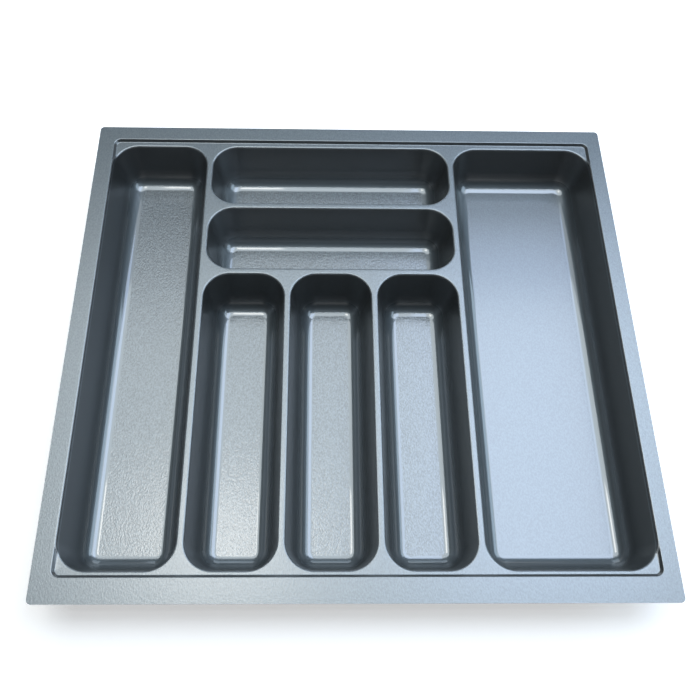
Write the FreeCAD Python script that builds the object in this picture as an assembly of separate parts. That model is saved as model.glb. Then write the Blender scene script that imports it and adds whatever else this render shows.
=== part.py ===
# Drop-in cutlery tray for a wide kitchen drawer, vacuum-formed from one plastic sheet.
# Millimetres, +Z up, +Y to the back of the drawer, origin at the centre of the base.
import FreeCAD
import Part
import math
import os
from collections import namedtuple

# Overall size, over the border
tray_width = 540.0
tray_depth = 500.0
tray_height = 51.0
sheet = 1.7

# Flat border that is trimmed to the drawer
border_left = 16.5
border_right = 13.4
border_back = 16.1
border_front = 21.3
border_corner = 4.0

# Step from the border down to the deck that the compartments open from
step_drop = 2.5
step_draft = 45.0
step_foot = 1.5
step_floor_corner = 4.0

# Compartment walls, the same all round every compartment, with the round foot drawn as a straight bevel
wall_draft = 11.2
wall_foot = 15.5
foot_bevels = 1
wall_lip = 1.6
floor_corner = 3.4

# Layout of the compartment mouths on the deck
left_width = 98.7
cutlery_width = 78.8
cross_depth = 73.2
divider = 6.5
cross_divider = 6.3
side_setback = 1.5
back_land = 7.9
front_land = 5.7

# Flat strip of border that stays with the outer walls of the side compartments
border_strip = 1.0

# Overrun of the cutting solids past the surfaces that they cut
overrun = 5.0

# Distance within which two edges count as the same one
same_edge = 0.001

up = FreeCAD.Vector(0, 0, 1)
quarter_turn = 90.0
half_share = 0.5
deck = tray_height - step_drop
floor = sheet
clear = tray_height + overrun

Rect = namedtuple("Rect", "left right front back")

# A wall section: heights of the mouth and the base, draft, foot radius, number of bevels that stand for that
# radius (none for a true arc), and the corner radius of the flat base
Wall = namedtuple("Wall", "mouth base draft foot bevels base_corner")
step_wall = Wall(tray_height, deck, step_draft, step_foot, 0, step_floor_corner)
tub_wall = Wall(deck, floor, wall_draft, wall_foot, foot_bevels, floor_corner)


def grown(rect, by):
    """The rectangle with every side moved out."""
    return Rect(rect.left - by, rect.right + by, rect.front - by, rect.back + by)


def slab(rect, low, high):
    """A plain block over a rectangle."""
    corner = FreeCAD.Vector(rect.left, rect.front, low)
    return Part.makeBox(rect.right - rect.left, rect.back - rect.front, high - low, corner)


def wall_run(wall):
    """How far a wall comes in from its mouth to its base."""
    return (wall.mouth - wall.base) * math.tan(math.radians(wall.draft))


def foot_turn(wall):
    """The angle through which a wall turns into its level base."""
    return math.radians(quarter_turn - wall.draft)


def base_inset(wall):
    """How far the flat base lies inside the mouth."""
    return wall_run(wall) + wall.foot * math.tan(foot_turn(wall) / 2)


def section(wall, top, lip):
    """Half section of a pocket: X is minus the distance from the axis of its corner, Z the height."""
    corner = wall.base_corner + base_inset(wall)
    slope = math.radians(wall.draft)

    def at(inset, height):
        return FreeCAD.Vector(inset - corner, 0, height)

    def up_wall(start, length):
        return start + FreeCAD.Vector(-math.sin(slope), 0, math.cos(slope)) * length

    def round_foot(radius, angle):
        return at(base_inset(wall) - radius * math.sin(angle), wall.base + wall.foot - radius * math.cos(angle))

    mouth = at(0, wall.mouth)
    if lip:
        upper = [up_wall(mouth, -lip), at(-lip, wall.mouth), at(-lip, top)]
    else:
        upper = [up_wall(mouth, (top - wall.mouth) / math.cos(slope))]
    closing = [at(corner, top), at(corner, wall.base)]
    if wall.bevels:
        # Bevels that touch the arc: each corner lies halfway round between two of them, a little outside it
        turn = foot_turn(wall) / (wall.bevels + 1)
        corners = [turn / 2 + number * turn for number in range(wall.bevels + 1)]
        foot = [round_foot(wall.foot / math.cos(turn / 2), angle) for angle in corners]
        return Part.Face(Part.makePolygon(foot + upper + closing + foot[:1]))
    ends = [round_foot(wall.foot, share * foot_turn(wall)) for share in (0, half_share, 1)]
    straight = Part.makePolygon(ends[-1:] + upper + closing + ends[:1])
    return Part.Face(Part.Wire([Part.Arc(*ends).toShape()] + straight.Edges))


def pocket(rect, wall, top, lip=0):
    """A pocket with rounded corners: its section turned round every corner and run along every side."""
    inner = grown(rect, -wall.base_corner - base_inset(wall))
    corners = [
        FreeCAD.Vector(inner.right, inner.back, 0),
        FreeCAD.Vector(inner.left, inner.back, 0),
        FreeCAD.Vector(inner.left, inner.front, 0),
        FreeCAD.Vector(inner.right, inner.front, 0),
    ]
    pieces = []
    for number, place in enumerate(corners):
        start = section(wall, top, lip)
        start.rotate(FreeCAD.Vector(), up, (number + 2) * quarter_turn)
        start.translate(place)
        pieces.append(start.revolve(place, up, quarter_turn))
        start.rotate(place, up, quarter_turn)
        pieces.append(start.extrude(corners[(number + 1) % len(corners)] - place))
    return slab(inner, wall.base, top).multiFuse(pieces).removeSplitter()


def under_pocket(rect, wall):
    """The underside of a pocket: the same pocket, one sheet thickness outside it."""
    outside = sheet / math.cos(math.radians(wall.draft))
    lower = wall._replace(base=wall.base - sheet, foot=wall.foot + sheet, bevels=max(wall.bevels, 1))
    return pocket(grown(rect, outside), lower, tray_height)


def rounded_plate(rect, corner, low, high):
    """A plate with rounded corners."""
    plate = slab(rect, low, high)
    upright = [edge for edge in plate.Edges if edge.tangentAt(edge.FirstParameter).cross(up).Length < same_edge]
    return plate.makeFillet(corner, upright)


def shared_edges(solid, first, second):
    """Edges of a solid that lie where two of the shapes that made it meet."""
    seam = first.section(second)
    found = []
    for edge in solid.Edges:
        middle = edge.valueAt((edge.FirstParameter + edge.LastParameter) / 2)
        if seam.distToShape(Part.Vertex(middle))[0] < same_edge:
            found.append(edge)
    return found


# Outlines: the tray, the step at the border's level, and every compartment mouth at the deck's level
tray = Rect(-tray_width / 2, tray_width / 2, -tray_depth / 2, tray_depth / 2)
recess = Rect(
    tray.left + border_left,
    tray.right - border_right,
    tray.front + border_front,
    tray.back - border_back,
)
front = recess.front + front_land
back = recess.back - back_land
left_edge = recess.left + side_setback
right_edge = recess.right - side_setback
cutlery_left = left_edge + left_width + divider
cutlery_right = cutlery_left + 3 * cutlery_width + 2 * divider
cutlery_back = back - 2 * (cross_depth + cross_divider)

side_mouths = {
    "left_long_compartment": Rect(left_edge, left_edge + left_width, front, back),
    "wide_right_compartment": Rect(cutlery_right + divider, right_edge, front, back),
}
inner_mouths = {}
for number, name in enumerate(["rear_cross_compartment", "middle_cross_compartment"]):
    high = back - number * (cross_depth + cross_divider)
    inner_mouths[name] = Rect(cutlery_left, cutlery_right, high - cross_depth, high)
for number, side in enumerate(["left", "middle", "right"]):
    low = cutlery_left + number * (cutlery_width + divider)
    inner_mouths[side + "_cutlery_compartment"] = Rect(low, low + cutlery_width, front, cutlery_back)
mouths = {**side_mouths, **inner_mouths}


def hollow():
    """All the space above the sheet: the step, and the compartments that open from it."""
    step = pocket(recess, step_wall, clear)
    sides = [pocket(rect, tub_wall, clear) for rect in side_mouths.values()]
    space = step.multiFuse(sides).removeSplitter()
    # The side compartments break through the step, so their lips climb it and are eased afterwards
    lips = [edge for side in sides for edge in shared_edges(space, step, side)]
    space = space.makeChamfer(wall_lip, lips)
    return space.multiFuse([pocket(rect, tub_wall, clear, wall_lip) for rect in inner_mouths.values()])


def filled():
    """The sheet with its hollows filled: everything above its underside."""
    plate = rounded_plate(tray, border_corner, tray_height - sheet, tray_height)
    step = under_pocket(recess, step_wall)
    return plate.multiFuse([step] + [under_pocket(rect, tub_wall) for rect in mouths.values()])


def compartment_cells():
    """The share of the sheet that belongs to each compartment, parted along the middles of the lands."""
    middle = Rect(
        recess.left - border_strip,
        recess.right + border_strip,
        (recess.front + base_inset(step_wall) + front - wall_lip) / 2,
        (recess.back - base_inset(step_wall) + back + wall_lip) / 2,
    )
    cells = {}
    for name, rect in mouths.items():
        cells[name] = Rect(
            middle.left if rect.left == left_edge else rect.left - divider / 2,
            middle.right if rect.right == right_edge else rect.right + divider / 2,
            middle.front if rect.front == front else rect.front - cross_divider / 2,
            middle.back if rect.back == back else rect.back + cross_divider / 2,
        )
    return cells, middle


def build():
    os.makedirs("parts", exist_ok=True)
    formed = filled().cut(hollow())
    cells, middle = compartment_cells()
    nodes = {"border_rim": formed.cut(slab(middle, -overrun, clear))}
    for name, cell in cells.items():
        nodes[name] = formed.common(slab(cell, -overrun, clear))
    for name, shape in nodes.items():
        shape = shape.removeSplitter()
        box = shape.optimalBoundingBox(False)
        limits = [box.XMin, box.XMax, box.YMin, box.YMax, box.ZMin, box.ZMax]
        print(name, len(shape.Solids), len(shape.Faces), shape.isValid(), [round(limit, 2) for limit in limits])
        shape.Solids[0].exportStep("parts/" + name + ".step")


build()
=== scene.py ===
# %% [markdown]
# # A drop-in cutlery tray
# The tray is one sheet of silver-grey plastic that was warmed and sucked down over a mould. Its flat
# border rests on a drawer's sides, a small step leads down to a deck, and seven bins hang from the deck.
# This lesson forms the same sheet as one mesh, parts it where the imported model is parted, and gives it a
# thickness, a finish and a studio.

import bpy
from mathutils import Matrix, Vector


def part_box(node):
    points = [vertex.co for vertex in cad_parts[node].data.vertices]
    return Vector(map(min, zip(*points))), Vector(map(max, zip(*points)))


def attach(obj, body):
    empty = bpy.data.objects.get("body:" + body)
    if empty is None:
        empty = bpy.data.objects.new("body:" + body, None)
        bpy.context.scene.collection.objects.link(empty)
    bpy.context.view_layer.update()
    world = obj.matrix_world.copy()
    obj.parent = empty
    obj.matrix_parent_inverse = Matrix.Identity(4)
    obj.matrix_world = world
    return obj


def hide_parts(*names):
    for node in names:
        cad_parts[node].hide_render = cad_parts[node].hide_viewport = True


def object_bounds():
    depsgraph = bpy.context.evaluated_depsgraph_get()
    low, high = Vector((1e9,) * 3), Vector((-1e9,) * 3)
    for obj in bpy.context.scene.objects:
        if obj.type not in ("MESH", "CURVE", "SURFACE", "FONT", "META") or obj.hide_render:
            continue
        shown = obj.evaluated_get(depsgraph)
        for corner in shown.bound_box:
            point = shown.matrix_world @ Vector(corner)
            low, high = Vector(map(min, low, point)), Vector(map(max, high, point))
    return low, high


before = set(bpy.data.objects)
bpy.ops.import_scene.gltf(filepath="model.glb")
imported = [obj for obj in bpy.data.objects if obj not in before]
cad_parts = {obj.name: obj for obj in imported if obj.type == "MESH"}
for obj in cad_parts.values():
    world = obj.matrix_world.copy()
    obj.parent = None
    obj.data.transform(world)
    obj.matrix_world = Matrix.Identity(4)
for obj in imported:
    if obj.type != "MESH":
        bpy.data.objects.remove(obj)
cad_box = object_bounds()
print("packed model from", tuple(cad_box[0]), "to", tuple(cad_box[1]))

# %% Import what the lesson uses
import math
from collections import namedtuple

import bmesh
import bpy
from mathutils import Matrix, Vector

MM = 0.001

# %% [markdown]
# ## Where everything lies
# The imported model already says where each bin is, so the layout is read from its boxes. A bin's mouth
# lies a little inside its box: by half a divider between two bins, and by the width of the land at the
# outside.

# %% Read the layout from the frame
Rect = namedtuple("Rect", "left right front back")

border_height = cad_box[1].z
sheet = 1.7 * MM
floor_height = sheet
step_drop = 2.5 * MM
deck_height = border_height - step_drop

divider = 6.5 * MM
cross_divider = 6.3 * MM
side_land = 2.5 * MM
front_land = 2.09 * MM
back_land = 3.19 * MM

bins = [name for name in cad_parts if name.endswith("_compartment")]
boxes = {name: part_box(name) for name in bins}
middle = Rect(
    min(low.x for low, high in boxes.values()),
    max(high.x for low, high in boxes.values()),
    min(low.y for low, high in boxes.values()),
    max(high.y for low, high in boxes.values()),
)


def grown(rect, by):
    """The rectangle with every side moved out."""
    return Rect(rect.left - by, rect.right + by, rect.front - by, rect.back + by)


def mouth_of(name):
    """A bin's mouth at the height of the deck."""
    low, high = boxes[name]
    return Rect(
        low.x + (side_land if low.x == middle.left else divider / 2),
        high.x - (side_land if high.x == middle.right else divider / 2),
        low.y + (front_land if low.y == middle.front else cross_divider / 2),
        high.y - (back_land if high.y == middle.back else cross_divider / 2),
    )


mouths = {name: mouth_of(name) for name in bins}
for name, mouth in mouths.items():
    print(name, [round(side / MM, 1) for side in mouth])

# %% [markdown]
# ## Wall sections
# Every bin has the same wall: a rounded lip, a straight wall with draft so that the sheet came off its
# mould, and a wide round foot, a little taller than a circle, that runs out into the floor. The step has
# a smaller section of the same kind. A section is written as points of inset and height, with its round
# stretches worked out as arcs.

# %% Work out the two sections
wall_draft = math.radians(11.2)
lip_radius = 2.0 * MM
foot_radius = 15.5 * MM
foot_stretch = 1.45
mouth_corner = 25.4 * MM
step_slope = math.radians(45)
step_radius = 1.0 * MM
recess_corner = 7.1 * MM
lip_steps = 6
foot_steps = 16
step_steps = 3

wall_turn = math.pi / 2 - wall_draft


def bend(middle_inset, middle_height, radius, start, end, steps):
    """Points round an arc, from one lean of the surface to another."""
    leans = [start + (end - start) * number / steps for number in range(steps + 1)]
    return [
        (middle_inset + radius * math.sin(lean), middle_height + radius * math.cos(lean)) for lean in leans
    ]


def wall_section(top, base, turn, lip, foot, steps, stretch=1):
    """Inset and height from the level land above a wall to the level face below it."""
    run = (top - base) / math.tan(turn)
    lip_reach = lip * math.tan(turn / 2)
    foot_reach = foot * math.tan(turn / 2)
    upper = bend(-lip_reach, top - lip, lip, 0, turn, steps[0])
    lower = []
    for inset, height in bend(run + foot_reach, base + foot, -foot, turn, 0, steps[1]):
        # A stretched foot slides up along the wall, so that it still runs out into wall and floor
        slid = (stretch - 1) * (height - base)
        lower.append((inset - slid / math.tan(turn), height + slid))
    return upper + lower


bin_section = wall_section(
    deck_height, floor_height, wall_turn, lip_radius, foot_radius, (lip_steps, foot_steps), foot_stretch,
)
step_section = wall_section(
    border_height, deck_height, step_slope, step_radius, step_radius, (step_steps, step_steps),
)
lip_reach = -bin_section[0][0]
print("bin section", len(bin_section), "points, floor inset", round(bin_section[-1][0] / MM, 2), "mm")

# %% [markdown]
# ## The lips that climb the step
# The two side bins are set so far out that their outer lips lie on the step, and in the middle of their
# outer sides the lip has reached the border. Round each corner the lip comes down the step to the deck.
# How high it lies follows from the two sections, so it is worked out and not guessed: the lip is moved up
# its own wall until its outer edge lies on the step.

# %% Work out how high a side bin's lip lies
side_setback = 1.5 * MM
recess_front = 5.7 * MM
recess_back = 7.9 * MM
corner_steps = 16
lip_rounds = 12

recess = Rect(
    middle.left + side_land - side_setback,
    middle.right - side_land + side_setback,
    middle.front + front_land - recess_front,
    middle.back - back_land + recess_back,
)
wall_spread = math.tan(wall_draft)


def height_on(section, inset):
    """The height of a section at a distance in from its edge."""
    for (near, high), (far, low) in zip(section, section[1:]):
        if inset <= far:
            share = max(0.0, (inset - near) / (far - near))
            return high + (low - high) * share
    return section[-1][1]


def lip_lift(angle):
    """How far a side bin's lip rises above the deck, at an angle round its corner from the outer side."""
    lift = step_drop
    for attempt in range(lip_rounds):
        reach = mouth_corner + lip_reach + lift * wall_spread
        lift = height_on(step_section, mouth_corner + side_setback - reach * math.cos(angle)) - deck_height
    return lift


corner_angles = [math.pi / 2 * number / corner_steps for number in range(corner_steps + 1)]
climbing = [angle for angle in corner_angles if lip_lift(angle) > 0]
print("lip above the deck:", [round(lip_lift(angle) / MM, 2) for angle in climbing], "mm")

# %% [markdown]
# ## Press the step and the bins
# A face with rounded corners is set in again and again, each time a little further in and down, so its
# rim follows the section. That is what the real sheet does when it is drawn into the mould, and every
# corner gets its taper by itself. The face that is left at the end is the floor.

# %% Press a face down along a section
def rounded_face(mesh, rect, corner, height):
    """A flat face with rounded corners."""
    made = bmesh.ops.create_grid(mesh, x_segments=1, y_segments=1, size=0.5)["verts"]
    bmesh.ops.scale(mesh, vec=(rect.right - rect.left, rect.back - rect.front, 1), verts=made)
    centre = Vector(((rect.left + rect.right) / 2, (rect.front + rect.back) / 2, height))
    bmesh.ops.translate(mesh, vec=centre, verts=made)
    bevelled = bmesh.ops.bevel(
        mesh, geom=made, affect="VERTICES", offset=corner, offset_type="OFFSET",
        segments=corner_steps, profile=0.5, material=-1,
    )
    return bevelled["verts"][0].link_faces[0]


def press(mesh, face, section):
    """Set a face in and down, point by point along a section."""
    for (inset, height), (next_inset, next_height) in zip(section, section[1:]):
        bmesh.ops.inset_region(
            mesh, faces=[face], thickness=next_inset - inset, depth=next_height - height,
            use_even_offset=True, use_boundary=True,
        )


# %% [markdown]
# The step comes first. Where a side bin's lip lies on it, the step is cut across at each point of the
# lip, and whatever lies below the lip slides up to it. Merging the doubles later joins the two.

# %% Press the step, and trim it to the side bins
side_bins = {"left_long_compartment": -1, "wide_right_compartment": 1}
same_point = 0.02 * MM

formed = bmesh.new()
step_reach = -step_section[0][0]
deck = rounded_face(formed, grown(recess, step_reach), recess_corner + step_reach, border_height)
press(formed, deck, step_section)
bmesh.ops.delete(formed, geom=[deck], context="FACES_ONLY")


def corner_centres(mouth, side):
    """The axes of a side bin's two outer rounded corners, with their ways to front or back."""
    x = mouth.left + mouth_corner if side < 0 else mouth.right - mouth_corner
    return [(Vector((x, mouth.front + mouth_corner, 0)), -1), (Vector((x, mouth.back - mouth_corner, 0)), 1)]


def lip_point(centre, side, way, angle):
    """A point of the outer edge of a side bin's lip."""
    lift = lip_lift(angle)
    reach = mouth_corner + lip_reach + lift * wall_spread
    out = Vector((side * math.cos(angle), way * math.sin(angle), 0))
    return centre + out * reach + Vector((0, 0, deck_height + lift))


lip_points = []
for name, side in side_bins.items():
    for centre, way in corner_centres(mouths[name], side):
        lip_points += [(side, lip_point(centre, side, way, angle)) for angle in climbing]
for side, point in lip_points:
    everything = formed.verts[:] + formed.edges[:] + formed.faces[:]
    bmesh.ops.bisect_plane(formed, geom=everything, dist=same_point, plane_co=point, plane_no=(0, 1, 0))
for side, point in lip_points:
    for vert in formed.verts:
        level = abs(vert.co.y - point.y) < same_point
        if level and vert.co.x * side > 0 and (point.x - vert.co.x) * side > -2 * same_point:
            vert.co = point
print("step pressed and trimmed:", len(formed.faces), "faces")

# %% [markdown]
# Each bin is pressed from a face that is as wide as its lip. On the two side bins the lip then moves up
# its wall by the height worked out above.

# %% Press the bins
press_drift = 0.5 * MM

for name, mouth in mouths.items():
    before = set(formed.verts)
    face = rounded_face(formed, grown(mouth, lip_reach), mouth_corner + lip_reach, deck_height)
    press(formed, face, bin_section)
    if name not in side_bins:
        continue
    lip = [vert for vert in formed.verts if vert not in before and vert.co.z > deck_height - lip_radius]
    for centre, way in corner_centres(mouth, side_bins[name]):
        for vert in lip:
            out = Vector((vert.co.x - centre.x, vert.co.y - centre.y, 0))
            if out.x * side_bins[name] > 0 and out.y * way > -press_drift:
                angle = math.atan2(max(out.y * way, 0), abs(out.x))
                vert.co += (out.normalized() * wall_spread + Vector((0, 0, 1))) * lip_lift(angle)
bmesh.ops.remove_doubles(formed, verts=formed.verts[:], dist=same_point)
print("bins pressed:", len(formed.faces), "faces")

# %% [markdown]
# ## Border and deck
# What is left open is flat: the border round the step, and the deck between the bins. Each is filled from
# its edges in one go.

# %% Fill the flat parts
border_corner = 4.0 * MM
tray = Rect(cad_box[0].x, cad_box[1].x, cad_box[0].y, cad_box[1].y)


def fill(mesh, edges):
    """Fill a flat area inside its edges, facing up."""
    made = bmesh.ops.triangle_fill(mesh, use_beauty=True, use_dissolve=False, edges=edges, normal=(0, 0, 1))
    faces = [item for item in made["geom"] if isinstance(item, bmesh.types.BMFace)]
    for face in faces:
        face.normal_update()
        if face.normal.z < 0:
            face.normal_flip()
    return faces


def at_border(edge):
    """Whether an edge lies at the height of the border."""
    return all(abs(vert.co.z - border_height) < same_point for vert in edge.verts)


outline = rounded_face(formed, tray, border_corner, border_height)
outline_edges = outline.edges[:]
bmesh.ops.delete(formed, geom=[outline], context="FACES_ONLY")
border_edges = [edge for edge in formed.edges if edge.is_boundary and at_border(edge)] + outline_edges
border_faces = fill(formed, border_edges)
deck_edges = [edge for edge in formed.edges if edge.is_boundary and edge not in outline_edges]
deck_faces = fill(formed, deck_edges)
print("border:", len(border_faces), "faces, deck:", len(deck_faces), "faces")
print("open edges left:", len([edge for edge in formed.edges if edge.is_boundary]) - len(outline_edges))

# %% [markdown]
# ## Part the sheet and give it thickness
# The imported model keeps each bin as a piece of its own, so the sheet is parted along the same upright
# planes, which all run through flat land. Each piece then gets the sheet's thickness on its underside.
# Its shading is weighted by the size of the faces, so that flat faces stay flat up to the edge of a bend.

# %% Part the formed sheet
sharp_edge = math.radians(40)


def cut(mesh, place, out, clear):
    """Cut a mesh with an upright plane, and clear away what lies outside it if asked."""
    everything = mesh.verts[:] + mesh.edges[:] + mesh.faces[:]
    bmesh.ops.bisect_plane(
        mesh, geom=everything, dist=MM / 1000, plane_co=place, plane_no=out, clear_outer=clear,
    )


def cut_sides(mesh, low, high, clear):
    """Cut a mesh at the four sides of an upright box."""
    for place, out in ((low, (-1, 0, 0)), (low, (0, -1, 0)), (high, (1, 0, 0)), (high, (0, 1, 0))):
        cut(mesh, place, out, clear)


def finish_piece(mesh, name, node):
    """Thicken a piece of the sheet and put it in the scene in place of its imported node."""
    bmesh.ops.solidify(mesh, geom=mesh.faces[:], thickness=sheet)
    bmesh.ops.recalc_face_normals(mesh, faces=mesh.faces[:])
    data = bpy.data.meshes.new(name)
    mesh.to_mesh(data)
    data.shade_smooth()
    data.set_sharp_from_angle(angle=sharp_edge)
    piece = bpy.data.objects.new(name, data)
    bpy.context.scene.collection.objects.link(piece)
    even = piece.modifiers.new("even shading", "WEIGHTED_NORMAL")
    even.keep_sharp = True
    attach(piece, "root")
    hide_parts(node)
    print(name, len(data.polygons), "faces")
    return piece


pieces = []
for name, (low, high) in boxes.items():
    part = formed.copy()
    cut_sides(part, low, high, True)
    pieces.append(finish_piece(part, name.replace("compartment", "bin"), name))
rim = formed.copy()
cut_sides(rim, Vector((middle.left, middle.front, 0)), Vector((middle.right, middle.back, 0)), False)
inside = []
for face in rim.faces:
    place = face.calc_center_median()
    if middle.left < place.x < middle.right and middle.front < place.y < middle.back:
        inside.append(face)
bmesh.ops.delete(rim, geom=inside, context="FACES")
pieces.append(finish_piece(rim, "border", "border_rim"))

# %% [markdown]
# ## Silver-grey polystyrene
# The sheet is polystyrene with a silver effect: fine metal flake under a clear glossy skin. The flake
# gives a broad soft sheen and the skin a sharper mirror over it, so the surface shows the studio and has
# little colour of its own. One shader can hold both, as a mostly metallic base with a coat over it. Two
# helpers come first, one for colours and one for nodes.

# %% Write helpers for colours and nodes
def colour(code):
    """An sRGB hex colour as linear red, green, blue and alpha."""
    parts = [int(code[place:place + 2], 16) / 255 for place in (1, 3, 5)]
    return [part / 12.92 if part <= 0.04045 else ((part + 0.055) / 1.055) ** 2.4 for part in parts] + [1.0]


def add(tree, kind, settings=None, links=None):
    """Add a node with its settings and links. An input goes by its name, or by its number."""
    node = tree.nodes.new(kind)
    for name, value in (settings or {}).items():
        if isinstance(name, str) and hasattr(node, name):
            setattr(node, name, value)
        else:
            node.inputs[name].default_value = value
    for name, socket in (links or {}).items():
        tree.links.new(socket, node.inputs[name])
    return node


# %% [markdown]
# Drawing the sheet into the mould changed its skin. The floors kept the mould's grain, the feet were
# stretched smooth and mirror most, the walls and the step went duller, and the lands stayed as they were.
# The walls and the step are also painted darker than floor and lands, as painted shade. The height of a
# point tells these apart, so each zone is a mask made from height. The mask for the feet and walls runs
# from the foot's gloss to the wall's satin, and from the floor's tone to the painted wall shade.

# %% Tell floor, wall, land and step apart
grain_fade = 0.05 * MM
gloss_height = floor_height + 2 * MM
satin_height = floor_height + 12 * MM
step_middle = (deck_height + border_height) / 2
step_share = 0.4

# Vacuum-formed sheet with flake in it: the eye gets a grey metal sheen, sharpest where the sheet bends
plastic = bpy.data.materials.new("silver effect polystyrene, vacuum formed")
plastic.use_nodes = True
tree = plastic.node_tree
tree.nodes.clear()
place = add(tree, "ShaderNodeTexCoord").outputs["Object"]
split = add(tree, "ShaderNodeSeparateXYZ", links={"Vector": place}).outputs
height = split["Z"]
on_floor = add(
    tree, "ShaderNodeMapRange",
    {"From Min": floor_height, "From Max": floor_height + grain_fade, "To Min": 1.0, "To Max": 0.0},
    {"Value": height},
).outputs["Result"]
on_land = add(
    tree, "ShaderNodeMapRange",
    {"From Min": deck_height - lip_radius, "From Max": deck_height}, {"Value": height},
).outputs["Result"]
# Painted shade: the walls above the feet take the dark wall tone, which ramps in from the floor's tone
wall_shade_mask = add(
    tree, "ShaderNodeMapRange", {"From Min": gloss_height, "From Max": satin_height}, {"Value": height},
).outputs["Result"]
# Painted shade: this picks out the step, which is painted in the same dark tone as the walls
on_step = add(
    tree, "ShaderNodeMath", {"operation": "COMPARE", 1: step_middle, 2: step_share * step_drop}, {0: height},
).outputs["Value"]
print("gloss up to", round(gloss_height / MM, 1), "mm, satin from", round(satin_height / MM, 1), "mm")

# %% [markdown]
# The mould left a fine pebble grain, a little longer from front to back than across. It is clearest on
# the floors of the narrow bins, weaker on the wide floor and on the lands, and gone from the walls. In
# the picture it is about one pixel wide, so it is drawn a bit coarser than real. The same noise gives the
# bump and a slight mottle of the tone, which is partly the sheet's own uneven tone and partly painted glint
# on the grain.

# %% Lay out the grain
grain_size = 1.3 * MM
grain_depth = 0.2 * MM
length_share = 0.6
wide_floor_grain = 0.35
land_grain = 0.6
wide_edge = boxes["wide_right_compartment"][0].x

floor_grain = add(
    tree, "ShaderNodeMapRange",
    {"From Min": wide_edge, "From Max": wide_edge + grain_fade, "To Min": 1.0, "To Max": wide_floor_grain},
    {"Value": split["X"]},
).outputs["Result"]
deep_grain = add(
    tree, "ShaderNodeMapRange", {"To Min": 0.0}, {"Value": on_floor, "To Max": floor_grain},
).outputs["Result"]
grain_level = add(
    tree, "ShaderNodeMapRange", {"To Max": land_grain}, {"Value": on_land, "To Min": deep_grain},
).outputs["Result"]
stretched = add(
    tree, "ShaderNodeVectorMath", {"operation": "MULTIPLY", 1: (1, length_share, 1)}, {0: place},
).outputs["Vector"]
grain = add(
    tree, "ShaderNodeTexNoise",
    {"Scale": 1 / grain_size, "Detail": 2.0, "Roughness": 0.5}, {"Vector": stretched},
).outputs["Fac"]
bump = add(
    tree, "ShaderNodeBump", {"Distance": grain_depth}, {"Height": grain, "Strength": grain_level},
).outputs["Normal"]
speck = add(
    tree, "ShaderNodeMapRange",
    {"From Min": 0.35, "From Max": 0.65, "To Min": -0.5, "To Max": 0.5}, {"Value": grain},
).outputs["Result"]
# Partly painted glint: the grain's noise lightens and darkens the tone, and stands in for glints off the
# grain
mottle_and_glint = add(
    tree, "ShaderNodeMath", {"operation": "MULTIPLY_ADD", 2: 0.5}, {0: speck, 1: grain_level},
).outputs["Value"]
grain_length = grain_size / length_share
print("grain", round(grain_size / MM, 2), "mm across and", round(grain_length / MM, 2), "mm long")

# %% [markdown]
# Tone and gloss follow the same zones. A Mix node for colours takes its two colours at inputs 6 and 7,
# and gives the result at output 2.

# %% Mix the tones and finish the shader
mix_first, mix_second, mix_result = 6, 7, 2
# The dark tone of the walls and the step is painted shade, not a colour of the sheet
painted_wall_shade = colour("#3a3f42")
foot_gloss, floor_gloss, wall_gloss, land_gloss = 0.06, 0.16, 0.4, 0.26

floor_tone = add(
    tree, "ShaderNodeMix",
    {"data_type": "RGBA", mix_first: colour("#5c6468"), mix_second: colour("#788186")}, {"Factor": mottle_and_glint},
).outputs[mix_result]
land_tone = add(
    tree, "ShaderNodeMix",
    {"data_type": "RGBA", mix_first: colour("#666f74"), mix_second: colour("#788287")}, {"Factor": mottle_and_glint},
).outputs[mix_result]
level_tone = add(
    tree, "ShaderNodeMix",
    {"data_type": "RGBA", mix_second: painted_wall_shade}, {"Factor": on_step, mix_first: land_tone},
).outputs[mix_result]
wall_tone = add(
    tree, "ShaderNodeMix",
    {"data_type": "RGBA", mix_first: painted_wall_shade}, {"Factor": on_land, mix_second: level_tone},
).outputs[mix_result]
tone = add(
    tree, "ShaderNodeMix",
    {"data_type": "RGBA"}, {"Factor": wall_shade_mask, mix_first: floor_tone, mix_second: wall_tone},
).outputs[mix_result]
skin = add(
    tree, "ShaderNodeMapRange",
    {"From Min": gloss_height, "From Max": satin_height, "To Min": foot_gloss, "To Max": wall_gloss},
    {"Value": height},
).outputs["Result"]
deep_gloss = add(
    tree, "ShaderNodeMapRange", {"To Max": floor_gloss}, {"Value": on_floor, "To Min": skin},
).outputs["Result"]
gloss = add(
    tree, "ShaderNodeMapRange", {"To Max": land_gloss}, {"Value": on_land, "To Min": deep_gloss},
).outputs["Result"]
shader = add(
    tree, "ShaderNodeBsdfPrincipled",
    {"Metallic": 0.8, "Roughness": 0.52, "Coat Weight": 1.0, "Coat IOR": 2.05},
    {"Base Color": tone, "Coat Roughness": gloss, "Normal": bump, "Coat Normal": bump},
)
add(tree, "ShaderNodeOutputMaterial", links={"Surface": shader.outputs["BSDF"]})
for piece in pieces:
    piece.data.materials.clear()
    piece.data.materials.append(plastic)
print("finish on", len(pieces), "pieces,", len(tree.nodes), "nodes")

# %% [markdown]
# ## The studio
# A glossy metallic surface shows the room more than itself, so the light does most of the work. A wide
# softbox hangs over the tray, and the floors mirror it. A dimmer one behind it lets that mirror image
# fade towards the back. A blue one on the right cools the wide bin, a small warm lamp brightens the front
# of the left bins, and a narrow strip in front draws the bright lines along the far feet. A window on the
# right lightens the walls that face it, and a dim back wall those that face the back.

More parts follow.
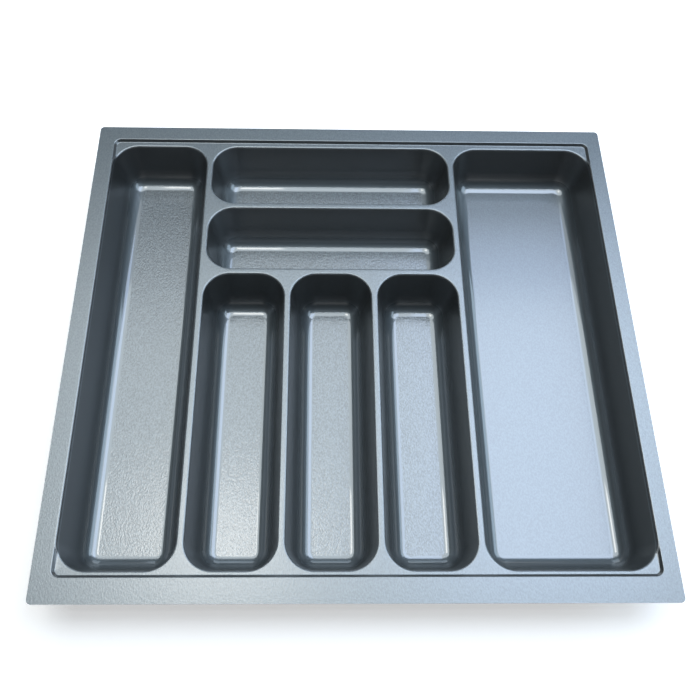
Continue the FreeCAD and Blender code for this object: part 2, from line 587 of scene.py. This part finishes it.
# %% Hang the softboxes
def softbox(name, place, aim, size, brightness, tint):
    """A rectangular area light whose face is as bright as asked, whatever its size."""
    data = bpy.data.lights.new(name, "AREA")
    data.shape = "RECTANGLE"
    data.size, data.size_y = size
    data.energy = brightness * math.pi * size[0] * size[1]
    data.color = colour(tint)[:3]
    lamp = bpy.data.objects.new(name, data)
    lamp.location = place
    lamp.rotation_euler = (Vector(aim) - Vector(place)).to_track_quat("-Z", "Y").to_euler()
    bpy.context.scene.collection.objects.link(lamp)
    print(name, "at", place, "m")


softbox("overhead softbox", (0.15, 0.42, 1.6), (0.15, 0.42, 0), (2.4, 1.24), 2.47, "#f2fbff")
softbox("rear softbox", (0.15, 1.22, 1.6), (0.15, 1.22, 0), (2.4, 0.36), 1.1, "#f2f9ff")
softbox("blue softbox", (0.65, 0.55, 1.55), (0.65, 0.55, 0), (0.8, 1.45), 1.82, "#b2ceff")
softbox("warm lamp", (-0.33, 0.1, 1.5), (-0.33, 0.1, 0), (0.36, 0.4), 3.6, "#fffaf2")
softbox("front strip", (0, -0.3, 1.6), (0, -0.3, 0), (1.6, 0.06), 6.0, "#f2fbff")
softbox("window", (1.9, 0.3, 1.4), (0, 0, 0.05), (2.2, 1.0), 2.15, "#d2ebff")
softbox("back wall", (0, 2.4, 0.8), (0, 0, 0.05), (1.6, 1.2), 0.98, "#d7edff")

# %% [markdown]
# The room has pale walls as far up as a low camera sees, and a dark ceiling. The bins look only at the
# ceiling, which keeps their walls deep grey.

# %% Paint the room
wall_top = math.radians(10)
ceiling_start = math.radians(20)
wall_level = 0.55
ceiling_level = 0.008

room = bpy.data.worlds.new("room with pale walls and a dark ceiling")
bpy.context.scene.world = room
room.use_nodes = True
tree = room.node_tree
tree.nodes.clear()
direction = add(tree, "ShaderNodeTexCoord").outputs["Generated"]
upwards = add(tree, "ShaderNodeSeparateXYZ", links={"Vector": direction}).outputs["Z"]
wall_light = add(
    tree, "ShaderNodeMapRange",
    {
        "From Min": math.sin(wall_top), "From Max": math.sin(ceiling_start),
        "To Min": wall_level, "To Max": ceiling_level,
    },
    {"Value": upwards},
).outputs["Result"]
background = add(tree, "ShaderNodeBackground", {"Color": colour("#fbfdff")}, {"Strength": wall_light})
add(tree, "ShaderNodeOutputWorld", links={"Surface": background.outputs["Background"]})
print("pale walls up to", round(math.degrees(wall_top)), "degrees above the horizon")

# %% [markdown]
# The table is a sheet of white paper. The lamps alone leave it grey, so it gets a glow that only the
# camera, reflections and clear things see. The glow lights nothing else, and the tray's shadow still
# falls on the paper. The paper lies a hair below the tray, so that the two never share a plane.

# %% Lay the table
paper_glow = 0.5
table_reach = 4.0
table_gap = 0.3 * MM

paper = bpy.data.materials.new("white paper sweep")
paper.use_nodes = True
tree = paper.node_tree
tree.nodes.clear()
rays = add(tree, "ShaderNodeLightPath").outputs
seen = add(
    tree, "ShaderNodeMath", {"operation": "MAXIMUM"}, {0: rays["Is Camera Ray"], 1: rays["Is Glossy Ray"]},
).outputs["Value"]
seen_through = add(
    tree, "ShaderNodeMath", {"operation": "MAXIMUM"}, {0: seen, 1: rays["Is Transmission Ray"]},
).outputs["Value"]
glow_level = add(
    tree, "ShaderNodeMath", {"operation": "MULTIPLY", 1: paper_glow}, {0: seen_through},
).outputs["Value"]
matte = add(tree, "ShaderNodeBsdfDiffuse", {"Color": colour("#f2f2f2")}).outputs["BSDF"]
glow = add(
    tree, "ShaderNodeEmission", {"Color": colour("#ffffff")}, {"Strength": glow_level},
).outputs["Emission"]
both = add(tree, "ShaderNodeAddShader", links={0: matte, 1: glow}).outputs["Shader"]
add(tree, "ShaderNodeOutputMaterial", links={"Surface": both})

table = bmesh.new()
bmesh.ops.create_grid(table, x_segments=1, y_segments=1, size=table_reach)
bmesh.ops.translate(table, vec=(0, 0, -table_gap), verts=table.verts[:])
table_data = bpy.data.meshes.new("table")
table.to_mesh(table_data)
table_data.materials.append(paper)
table_piece = bpy.data.objects.new("table", table_data)
bpy.context.scene.collection.objects.link(table_piece)
print("table", 2 * table_reach, "m wide")

# %% [markdown]
# ## The camera
# The photograph looks down steeply from the front. The viewing angle was found from the tray's own
# outlines: the border and the bins' mouths are rectangles, so their corners settle the direction, the
# distance and the lens. The frame's middle lies a little off the lens axis, which the shift takes up.

# %% Set up the camera
frame_pixels = 700
focal_pixels = 751
axis_pixel = (337.8, 383.6)
elevation = math.radians(65.78)
azimuth = math.radians(-3.03)
roll = math.radians(2.96)
distance = 693 * MM
target = Vector((-16.0, -53.2, 51.0)) * MM

towards = Vector((
    math.sin(azimuth) * math.cos(elevation),
    -math.cos(azimuth) * math.cos(elevation),
    math.sin(elevation),
))
level = Vector((math.cos(azimuth), math.sin(azimuth), 0))
turned = Matrix.Rotation(roll, 3, towards)
right = turned @ level
upward = turned @ towards.cross(level)

lens = bpy.data.cameras.new("camera")
lens.sensor_width = 36
lens.lens = lens.sensor_width * focal_pixels / frame_pixels
lens.shift_x = (frame_pixels / 2 - axis_pixel[0]) / frame_pixels
lens.shift_y = (axis_pixel[1] - frame_pixels / 2) / frame_pixels
camera = bpy.data.objects.new("camera", lens)
camera.matrix_world = Matrix((right, upward, towards)).transposed().to_4x4()
camera.location = target + towards * distance
bpy.context.scene.collection.objects.link(camera)
bpy.context.scene.camera = camera
bpy.context.scene.view_settings.view_transform = "Standard"
print("camera at", [round(part / MM) for part in camera.location], "mm")
